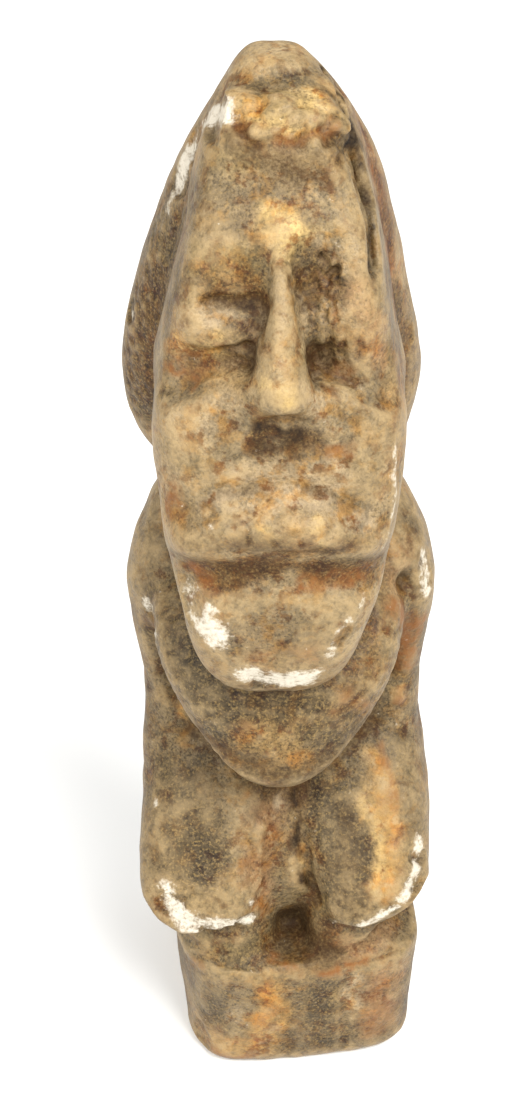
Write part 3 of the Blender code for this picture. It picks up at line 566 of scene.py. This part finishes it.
# Under the upper lip, the brown band and the dirt are painted shade that softens the lip's lower edge.
tint(BROWN, [(-10.4, 21.0, 99.6), (-0.4, 23.4, 100.3), (9.6, 21.2, 99.4)], 2.4, 0.8, 0.8)
mark("dirt_and_shade", [(-9.0, 21.4, 99.0), (-0.4, 23.2, 99.8), (8.0, 21.6, 98.8)], 2.0, 0.4)
mark("dirt_and_shade", [(-8.0, 21.6, 98.4), (-0.4, 22.8, 98.8), (6.0, 22.0, 98.4)], 1.6, 0.5)
# The mouth slot is mostly filled in, and its dark band is painted shade with some dirt.
SLOT_FILLED = [
    (-10.8, 18.8, 93.4),
    (-6.0, 20.2, 95.2),
    (-0.4, 20.8, 95.8),
    (5.0, 20.2, 95.2),
    (9.8, 19.0, 93.6),
]
tint(BROWN, SLOT_FILLED, 3.4, 0.95, 1.0)
mark("dirt_and_shade", SLOT_FILLED[1:4], 2.8, 0.7)
tint(BROWN, [(-12.2, 17.8, 93.2), (-9.4, 19.4, 93.2)], 2.6, 0.7, 0.9)
mark("rusty", [(-12.2, 17.8, 93.2), (-9.4, 19.6, 92.8)], 2.4, 0.8)
mark("rusty", [(2.4, 21.4, 93.0), (6.0, 20.8, 92.9), (10.0, 18.8, 92.4)], 2.0, 0.8)
tint(BUFF, [(-7.0, 21.8, 90.0), (0.0, 22.6, 90.0), (6.0, 22.0, 90.6)], 3.4, 0.8, 0.4)
tint(GREY, [(-4.1, 22.9, 85.9), (3.0, 23.0, 85.0)], 5.0, 0.7, 0.6)
tint(DARK_GREY, [(-6.6, 22.9, 84.0)], 2.2, 0.5, 0.8)
mark("rusty", [(-3.0, 23.0, 82.6), (3.4, 23.0, 83.4)], 1.8, 0.5)
mark("broken", JAW_RIGHT, 0.9, 0.55)
mark("broken", [(-12.2, 19.6, 90.2), (-10.6, 21.2, 87.8), (-8.4, 22.5, 85.4)], 2.8, 1.0)
mark("broken", [(-9.4, 21.8, 89.2)], 1.8, 0.9)
mark("broken", [(-4.0, 22.3, 78.8), (-2.4, 22.1, 77.7), (0.0, 21.9, 77.3), (2.4, 22.1, 77.9)], 3.0, 1.0)
mark("broken", [(2.0, 22.3, 78.2), (4.6, 22.5, 79.6)], 1.2, 0.7)
mark("broken", [(8.2, 22.1, 87.4), (6.8, 22.5, 85.2), (5.7, 22.8, 83.0)], 1.2, 0.55)
mark("broken", [(-8.7, 21.4, 102.2)], 1.0, 0.6)

# The trunk and arms
tint(DARK_GREY, [(-15.0, 9.0, 74.0), (-12.0, 13.5, 69.0), (-7.0, 16.5, 66.0)], 8.0, 0.85, 1.0)
tint(DARK_GREY, [(-1.0, 17.7, 67.0), (5.0, 17.0, 66.0)], 8.0, 0.7, 1.0)
tint(SLATE, [(-14.0, 11.0, 72.0), (-9.0, 15.6, 67.0)], 6.5, 0.7, 1.0)
tint(SLATE, [(3.0, 17.0, 70.0), (6.0, 16.6, 66.0)], 4.0, 0.15, 1.0)
mark("rusty", [(-5.0, 17.0, 65.0)], 3.0, 0.35)
mark("rusty", [(9.0, 14.6, 69.0), (10.4, 13.6, 65.0)], 2.4, 0.45)
tint(OCHRE, [(-3.0, 18.0, 64.0), (1.0, 18.4, 61.0)], 5.0, 0.35, 1.0)
tint(BROWN, [(11.0, 10.4, 74.6), (10.6, 14.1, 69.0)], 4.5, 0.6, 1.0)
tint(BUFF, [(14.4, 9.3, 73.6), (13.0, 12.7, 69.5)], 2.6, 0.5, 0.6)
tint(GREY, [(-17.6, -4.0, 83.0), (-18.6, -2.0, 78.0)], 7.0, 0.6, 0.4)
tint(GREY, [(17.4, -4.6, 84.0), (18.4, -2.0, 79.0)], 7.0, 0.85, 0.3)
tint(SLATE, [(17.6, -4.4, 83.0), (18.4, -2.0, 79.0)], 5.0, 0.35, 0.4)
tint(PINK_BUFF, [(15.8, 0.5, 80.2), (15.2, 4.7, 76.7)], 3.0, 0.6, 0.5)
mark("rusty", [(14.7, 5.7, 76.7), (16.8, 0.9, 67.5), (16.7, 0.7, 62.0)], 3.0, 0.8)
tint(OCHRE, [(16.1, 1.8, 56.8)], 1.8, 1.0, 0.1)
mark("rusty", [(16.1, 1.8, 56.2)], 1.4, 0.6)
tint(GREY, [(-17.8, 0.5, 62.6), (-18.3, 0.3, 55.1), (-18.4, 2.0, 49.1)], 5.0, 0.5, 0.7)
tint(OCHRE, [(-14.2, 2.6, 55.0), (-13.8, 4.3, 50.2)], 1.2, 0.8, 0.3)
tint(GREY, [(18.4, 0.3, 55.0), (18.9, 4.2, 47.3), (19.3, 8.2, 43.4)], 5.0, 0.5, 0.4)
mark("broken", [(-18.3, 1.8, 73.2), (-16.8, 7.7, 73.0)], 1.7, 0.75)
mark("broken", [(19.5, -2.4, 79.0), (19.8, -0.4, 74.4)], 1.8, 0.8)

# The legs
# The belly hollow under the chest is partly filled in, and its darkness is painted shade with some dirt.
mark("dirt_and_shade", [(-6.0, 14.0, 54.0), (0.5, 13.0, 51.0), (6.0, 11.0, 52.5)], 6.0, 0.95)
tint(BROWN, [(-3.0, 8.0, 46.0), (2.0, 8.0, 44.0)], 4.5, 0.7, 0.8)
tint(DARK_GREY, [(-14.8, 9.5, 44.6), (-12.0, 13.3, 40.6), (-12.7, 16.7, 36.1)], 7.0, 0.75, 1.0)
tint(GREY, [(-11.3, 4.7, 50.6), (-9.2, 7.1, 48.1)], 5.0, 0.7, 0.6)
tint(SLATE, [(-14.0, 10.0, 43.6), (-12.0, 13.3, 40.6), (-12.4, 16.7, 36.1)], 5.5, 0.5, 1.0)
tint(BUFF, [(-6.2, 10.6, 43.6), (-4.8, 13.5, 38.8), (-5.4, 16.4, 34.0)], 3.6, 0.8, 0.5)
tint(PINK_BUFF, [(-1.8, 10.0, 41.6), (-2.7, 13.8, 35.1), (-3.2, 14.8, 30.0)], 4.0, 0.9, 0.3)
mark("rusty", [(-5.2, 13.0, 38.4), (-5.4, 15.6, 34.6)], 1.8, 0.4)
# The valley between the thighs is darkened by dirt and by painted shade.
mark("dirt_and_shade", VALLEY, 1.6, 1.0)
mark("deep_dirt_and_shade", VALLEY, 0.9, 0.8)
# More painted shade in the belly hollow, and a band of it under the chest's lower edge.
mark("deep_dirt_and_shade", [(-3.0, 15.0, 54.4), (0.5, 15.0, 53.0), (4.0, 13.6, 54.4)], 3.4, 0.7)
UNDER_CHEST = [
    (-10.0, 15.0, 61.8),
    (-5.0, 17.6, 59.2),
    (0.5, 18.4, 57.4),
    (6.0, 16.8, 59.2),
    (11.0, 13.5, 63.2),
]
mark("dirt_and_shade", UNDER_CHEST, 3.2, 0.6)
tint(YELLOW, [(3.4, 11.9, 36.6), (4.6, 13.2, 32.0), (6.6, 15.0, 27.8)], 1.1, 0.9, 0.1)
mark("rusty", [(3.4, 11.9, 36.6), (4.6, 13.2, 32.0)], 1.0, 0.5)
tint(SLATE, [(6.6, 9.5, 43.6), (8.5, 14.0, 39.2), (8.8, 17.0, 33.4)], 5.0, 1.0, 1.0)
tint(SLATE, [(6.8, 9.4, 45.0), (7.5, 10.5, 43.6), (8.9, 14.0, 39.2), (9.4, 18.0, 31.6)], 4.4, 1.0, 1.0)
tint(OCHRE, [(11.1, 8.0, 56.0), (13.5, 8.1, 47.1), (14.6, 13.2, 40.5), (14.6, 16.5, 35.9)], 3.4, 1.0, 0.1)
tint(YELLOW, [(12.4, 8.6, 46.6), (13.2, 13.6, 40.0), (13.6, 16.9, 35.4)], 1.8, 0.7, 0.1)
tint(SLATE, [(6.6, 9.0, 45.6), (7.8, 10.5, 43.6), (9.2, 14.0, 39.2), (9.6, 18.0, 32.2)], 3.6, 1.0, 1.0)
mark("dirt_and_shade", [(7.8, 10.5, 43.6), (9.2, 14.0, 39.2), (9.4, 17.8, 32.6)], 3.4, 0.4)
mark("rusty", [(14.4, 5.0, 50.4), (15.2, 10.6, 43.8)], 1.4, 0.7)
tint(GREY, [(18.4, 10.7, 41.8), (17.8, 8.1, 45.2)], 3.0, 0.8, 0.5)
tint(OCHRE, [(-4.6, 9.4, 45.3)], 1.5, 1.0, 0.0)
mark("rusty", [(-4.6, 9.4, 45.0)], 1.0, 0.7)
tint(PALE_BUFF, [(-0.4, 8.4, 43.0)], 1.6, 0.9, 0.0)
mark("broken", [(-17.5, 8.6, 43.3)], 0.9, 0.8)
KNEE_LEFT = [
    (-16.2, 16.6, 33.8),
    (-15.6, 17.4, 32.4),
    (-13.8, 18.9, 30.6),
    (-11.3, 19.5, 29.5),
    (-8.3, 19.4, 29.0),
    (-5.0, 17.4, 28.0),
]
mark("broken", KNEE_LEFT, 2.2, 0.95)
mark("broken", [(-4.4, 16.6, 31.4)], 1.4, 0.7)
mark("broken", [(19.6, 11.8, 39.0), (19.5, 13.8, 36.8), (18.6, 16.0, 35.0), (17.2, 17.4, 33.6)], 1.6, 0.9)
mark("broken", [(7.4, 17.0, 27.0), (10.0, 19.0, 29.0), (13.3, 19.0, 30.8), (16.1, 18.1, 32.4)], 1.1, 0.8)
# The niche between the shins is partly filled in, and its darkness is painted shade with some dirt.
mark("dirt_and_shade", [(1.8, 12.0, 22.6), (2.2, 14.5, 24.0), (4.8, 15.8, 22.4)], 5.0, 1.0)
mark("deep_dirt_and_shade", [(1.4, 11.0, 22.0), (2.2, 16.0, 21.0), (4.9, 15.8, 21.8)], 2.6, 0.3)
tint(BROWN, [(-2.6, 16.5, 24.0), (1.8, 15.5, 25.0), (6.4, 17.0, 24.0)], 4.0, 0.8, 0.8)
mark("dirt_and_shade", [(4.9, 15.6, 22.4), (6.6, 16.4, 23.0)], 2.6, 0.7)
tint(PINK_BUFF, [(9.2, 17.2, 23.0), (15.7, 14.2, 22.6)], 3.6, 0.7, 0.4)
tint(OLIVE, [(-13.0, 15.6, 22.8), (-8.6, 17.7, 24.1), (-4.7, 17.4, 23.2)], 3.0, 0.8, 0.6)
tint(SLATE, [(-12.0, 16.4, 23.2), (-5.4, 17.6, 23.8)], 4.0, 0.45, 0.8)

# The plinth
mark("rusty", [(2.8, 19.6, 20.4), (7.8, 19.2, 20.4), (13.5, 18.0, 20.8)], 1.8, 0.9)
mark("rusty", [(-1.0, 17.5, 21.4), (1.2, 18.6, 21.2)], 2.2, 0.8)
mark("rusty", [(-12.6, 17.2, 20.0)], 2.0, 0.5)
tint(GREY, [(-10.9, 18.5, 16.6), (-6.4, 19.9, 14.0)], 6.5, 0.9, 0.8)
tint(SLATE, [(-11.4, 18.3, 16.6), (-9.0, 19.2, 11.0)], 5.0, 0.5, 0.8)
tint(PALE_BUFF, [(-6.4, 19.8, 11.5)], 3.4, 0.5, 0.4)
tint(OCHRE, [(-1.7, 20.0, 18.0), (-0.8, 19.6, 12.5), (-2.7, 19.7, 7.6)], 3.2, 0.9, 0.3)
tint(OCHRE, [(-9.0, 19.0, 5.0), (-3.0, 19.4, 4.0)], 3.4, 0.8, 0.3)
tint(BROWN, [(1.2, 19.4, 9.6), (1.7, 19.1, 5.6)], 1.6, 0.7, 0.5)
tint(SLATE, [(6.0, 19.0, 18.0), (6.2, 18.8, 11.6), (6.6, 18.4, 4.0)], 3.2, 0.75, 1.0)
tint(DARK_GREY, [(8.8, 18.6, 16.0), (8.8, 18.4, 10.0)], 1.6, 0.6, 0.8)
tint(PALE_BUFF, [(11.6, 18.2, 17.3), (11.4, 17.9, 11.7)], 2.2, 0.8, 0.3)
tint(PINK_BUFF, [(15.5, 16.8, 17.1), (15.1, 16.4, 8.5)], 4.5, 0.8, 0.5)
mark("rusty", [(15.0, 16.6, 15.0), (14.6, 16.4, 6.0)], 2.8, 0.4)
mark("rusty", [(-9.4, 18.4, 2.6), (-3.0, 19.2, 2.0)], 1.6, 0.7)

# Hands and cloth lighten what stands out, and a painted highlight lightens it more. What lies in hollows is
# darkened by dirt and by painted shade, and what faces down by painted shade.
raised = stone.relief(passes=26)
broad = stone.relief(passes=160)
stains_and_shade.layers["worn"] = ramp(raised, 0.03, 0.28)
hollow = 0.5 * ramp(-raised, 0.08, 0.34) + 0.4 * ramp(-broad, 0.15, 1.4)
painted_underside_shade = 0.55 * ramp(-stone.normals[:, 2], 0.15, 0.85) * ramp(stone.points[:, 2], 8.0, 26.0)
stains_and_shade.layers["dirt_and_shade"] = np.maximum(stains_and_shade.layers["dirt_and_shade"], hollow + painted_underside_shade)
stains_and_shade.keep()


# Soapstone (steatite) cut with a blade, rubbed smooth and handled: a dull waxy gloss over cloudy buff and
# grey, with dark mineral specks of about 0.4 mm. A noise scale is one over the pattern's size in metres.
soapstone = bpy.data.materials.new("soapstone_handled")
soapstone.use_nodes = True
tree = soapstone.node_tree
shader = tree.nodes["Principled BSDF"]


def add_node(kind, inputs, **settings):
    """Adds a node. An input is a value, a socket to link, or a node, whose first output in use is linked."""
    made = tree.nodes.new(kind)
    for name, value in settings.items():
        setattr(made, name, value)
    for name, value in inputs.items():
        if isinstance(value, bpy.types.Node):
            value = next(socket for socket in value.outputs if socket.enabled)
        if isinstance(value, bpy.types.NodeSocket):
            tree.links.new(value, made.inputs[name])
        else:
            made.inputs[name].default_value = value
    return made


read = {name: add_node("ShaderNodeAttribute", {}, attribute_name=name).outputs["Fac"] for name in LAYERS}
place = add_node("ShaderNodeTexCoord", {}).outputs["Object"]
noises = {}
for name, millimetres, detail, roughness, distortion in (
    ("mottle", 4.5, 6.0, 0.65, 0.8),
    ("patches", 3.2, 4.0, 0.60, 0.0),
    ("brown", 2.3, 4.0, 0.60, 0.0),
    ("pale", 2.7, 4.0, 0.65, 0.0),
    ("grain", 1.4, 3.0, 0.60, 0.0),
    ("fine", 0.55, 3.0, 0.65, 0.0),
    ("speck", 0.42, 2.0, 0.60, 0.0),
    ("glint", 0.40, 2.0, 0.60, 0.0),
):
    noises[name] = add_node(
        "ShaderNodeTexNoise",
        {
            "Vector": place,
            "Scale": 1000 / millimetres,
            "Detail": detail,
            "Roughness": roughness,
            "Distortion": distortion,
        },
    )

# The stone's own colour, lighter and darker in clouds and in grains
graininess = add_node("ShaderNodeMapRange", {"Value": read["specks"], "To Min": 0.8, "To Max": 2.2})
grains = add_node("ShaderNodeMath", {0: noises["fine"], 1: 0.5}, operation="SUBTRACT")
grains = add_node("ShaderNodeMath", {0: grains, 1: graininess, 2: 1.0}, operation="MULTIPLY_ADD")
clouds = add_node(
    "ShaderNodeMapRange",
    {"Value": noises["mottle"], "From Min": 0.34, "From Max": 0.66, "To Min": 0.60, "To Max": 1.42},
)
brightness = add_node("ShaderNodeMath", {0: clouds, 1: grains}, operation="MULTIPLY")
stone_colour = add_node("ShaderNodeAttribute", {}, attribute_name="stone_colour").outputs["Color"]
ground = add_node("ShaderNodeVectorMath", {0: stone_colour, "Scale": brightness}, operation="SCALE")

# A break is ragged along its edge, and is the stone's pale inside
ragged = add_node("ShaderNodeMath", {0: noises["grain"], 1: noises["fine"]}, operation="ADD")
ragged = add_node("ShaderNodeMath", {0: ragged, 1: 1.0}, operation="SUBTRACT")
ragged = add_node("ShaderNodeMath", {0: ragged, 1: 1.3, 2: read["broken"]}, operation="MULTIPLY_ADD")
fresh = add_node("ShaderNodeMapRange", {"Value": ragged, "From Min": 0.38, "From Max": 0.90})
rubbed = add_node("ShaderNodeMapRange", {"Value": read["broken"], "To Max": 0.4})

# What lies over it, each laid on by one noise from its least to its most: the two dark layers are dirt and
# painted shade, and the pale layer on raised places is wear and painted highlight
plain = add_node(
    "ShaderNodeMapRange",
    {"Value": read["specks"], "From Min": 0.2, "From Max": 0.9, "To Min": 0.5, "To Max": 0.03},
)
flecked = add_node("ShaderNodeMapRange", {"Value": read["specks"], "To Min": 0.1, "To Max": 0.75})
for noise, low, high, least, most, amount, colour, way in (
    ("patches", 0.50, 0.62, 0.0, 0.8, 1.0, "#ffd88e", "MULTIPLY"),
    ("brown", 0.54, 0.62, 0.0, 0.85, 1.0, "#b48a58", "MULTIPLY"),
    ("pale", 0.54, 0.63, 0.0, 1.0, plain, "#a8916a", "MIX"),
    ("speck", 0.50, 0.36, 0.0, 1.0, flecked, "#1c1206", "MIX"),
    ("glint", 0.50, 0.70, 0.0, 0.6, flecked, "#a08450", "MIX"),
    ("grain", 0.35, 0.60, 0.15, 0.6, read["worn"], "#a08860", "MIX"),
    ("grain", 0.34, 0.62, 0.15, 0.95, read["rusty"], RUST, "MIX"),
    ("fine", 0.30, 0.66, 1.0, 0.45, read["dirt_and_shade"], "#382206", "MIX"),
    ("fine", 0.30, 0.70, 1.0, 0.6, read["deep_dirt_and_shade"], "#120a02", "MIX"),
    ("grain", 0.35, 0.60, 0.4, 1.0, rubbed, "#a3947a", "MIX"),
    ("fine", 0.25, 0.55, 0.6, 1.0, fresh, "#c6bdac", "MIX"),
):
    share = add_node(
        "ShaderNodeMapRange",
        {"Value": noises[noise], "From Min": low, "From Max": high, "To Min": least, "To Max": most},
    )
    share = add_node("ShaderNodeMath", {0: share, 1: amount}, operation="MULTIPLY")
    ground = add_node(
        "ShaderNodeMix", {0: share, 6: ground, 7: linear(colour)}, data_type="RGBA", blend_type=way
    )
tree.links.new(ground.outputs[2], shader.inputs["Base Color"])

# Handled stone is glossier, and a break and the soiled and shaded places are dull
gloss = add_node(
    "ShaderNodeMapRange",
    {"Value": noises["grain"], "From Min": 0.3, "From Max": 0.7, "To Min": 0.46, "To Max": 0.60},
)
gloss = add_node("ShaderNodeMath", {0: fresh, 1: 0.3, 2: gloss}, operation="MULTIPLY_ADD")
gloss = add_node("ShaderNodeMath", {0: read["worn"], 1: -0.06, 2: gloss}, operation="MULTIPLY_ADD")
gloss = add_node("ShaderNodeMath", {0: read["dirt_and_shade"], 1: 0.2, 2: gloss}, operation="MULTIPLY_ADD")
tree.links.new(gloss.outputs[0], shader.inputs["Roughness"])
height = add_node("ShaderNodeMath", {0: noises["speck"], 1: noises["fine"]}, operation="ADD")
height = add_node("ShaderNodeMath", {0: height, 1: 0.5, 2: noises["grain"]}, operation="MULTIPLY_ADD")
grainy = add_node("ShaderNodeBump", {"Height": height, "Strength": 0.6, "Distance": 0.00035})
tree.links.new(grainy.outputs[0], shader.inputs["Normal"])
shader.inputs["IOR"].default_value = 1.56
shader.inputs["Specular IOR Level"].default_value = 0.18
figure.data.materials.append(soapstone)

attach(figure, "root")
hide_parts("stone_figure")


# The table top.
# White laminate, wide enough for its edge to stay out of the photograph's view. A low view shows it far off.
bpy.ops.object.select_all(action="DESELECT")
bpy.ops.mesh.primitive_circle_add(vertices=96, radius=3.0, fill_type="NGON", location=(0, 0, 0))
table = bpy.context.object
table.name = "table_top"
laminate = bpy.data.materials.new("laminate_white")
laminate.use_nodes = True
top = laminate.node_tree.nodes["Principled BSDF"]
top.inputs["Base Color"].default_value = linear("#fafaf8")
top.inputs["Roughness"].default_value = 0.7
table.data.materials.append(laminate)


# The light.
# A white room, a soft window to the upper right, and a wider and weaker one to the left.
room = bpy.data.worlds.new("white_room")
bpy.context.scene.world = room
room.use_nodes = True
room.node_tree.nodes["Background"].inputs["Color"].default_value = linear("#ffffff")
room.node_tree.nodes["Background"].inputs["Strength"].default_value = 0.7
LIT = Vector((0, 0, 0.07))
for name, spot, size, power in (
    ("window_right", (0.26, -0.34, 0.58), 0.36, 6.4),
    ("window_left", (-0.42, -0.34, 0.42), 0.50, 3.0),
):
    light = bpy.data.lights.new(name, "AREA")
    light.size = size
    light.energy = power
    window = bpy.data.objects.new(name, light)
    window.location = spot
    window.rotation_euler = (Vector(spot) - LIT).to_track_quat("Z", "Y").to_euler()
    bpy.context.scene.collection.objects.link(window)
bpy.context.scene.view_settings.view_transform = "Standard"


# The camera.
# Hand-held close above the figure, looking down at 38 degrees.
TILT = math.radians(38)
DISTANCE = 0.340
AIM = Vector((-0.0023, 0, 0.0815))
camera = bpy.data.objects.new("camera", bpy.data.cameras.new("camera"))
camera.data.lens = 83.2
camera.data.clip_start = 0.01
back = Vector((0, -math.cos(TILT), math.sin(TILT)))
camera.location = AIM + back * DISTANCE
camera.rotation_euler = back.to_track_quat("Z", "Y").to_euler()
bpy.context.scene.collection.objects.link(camera)
bpy.context.scene.camera = camera
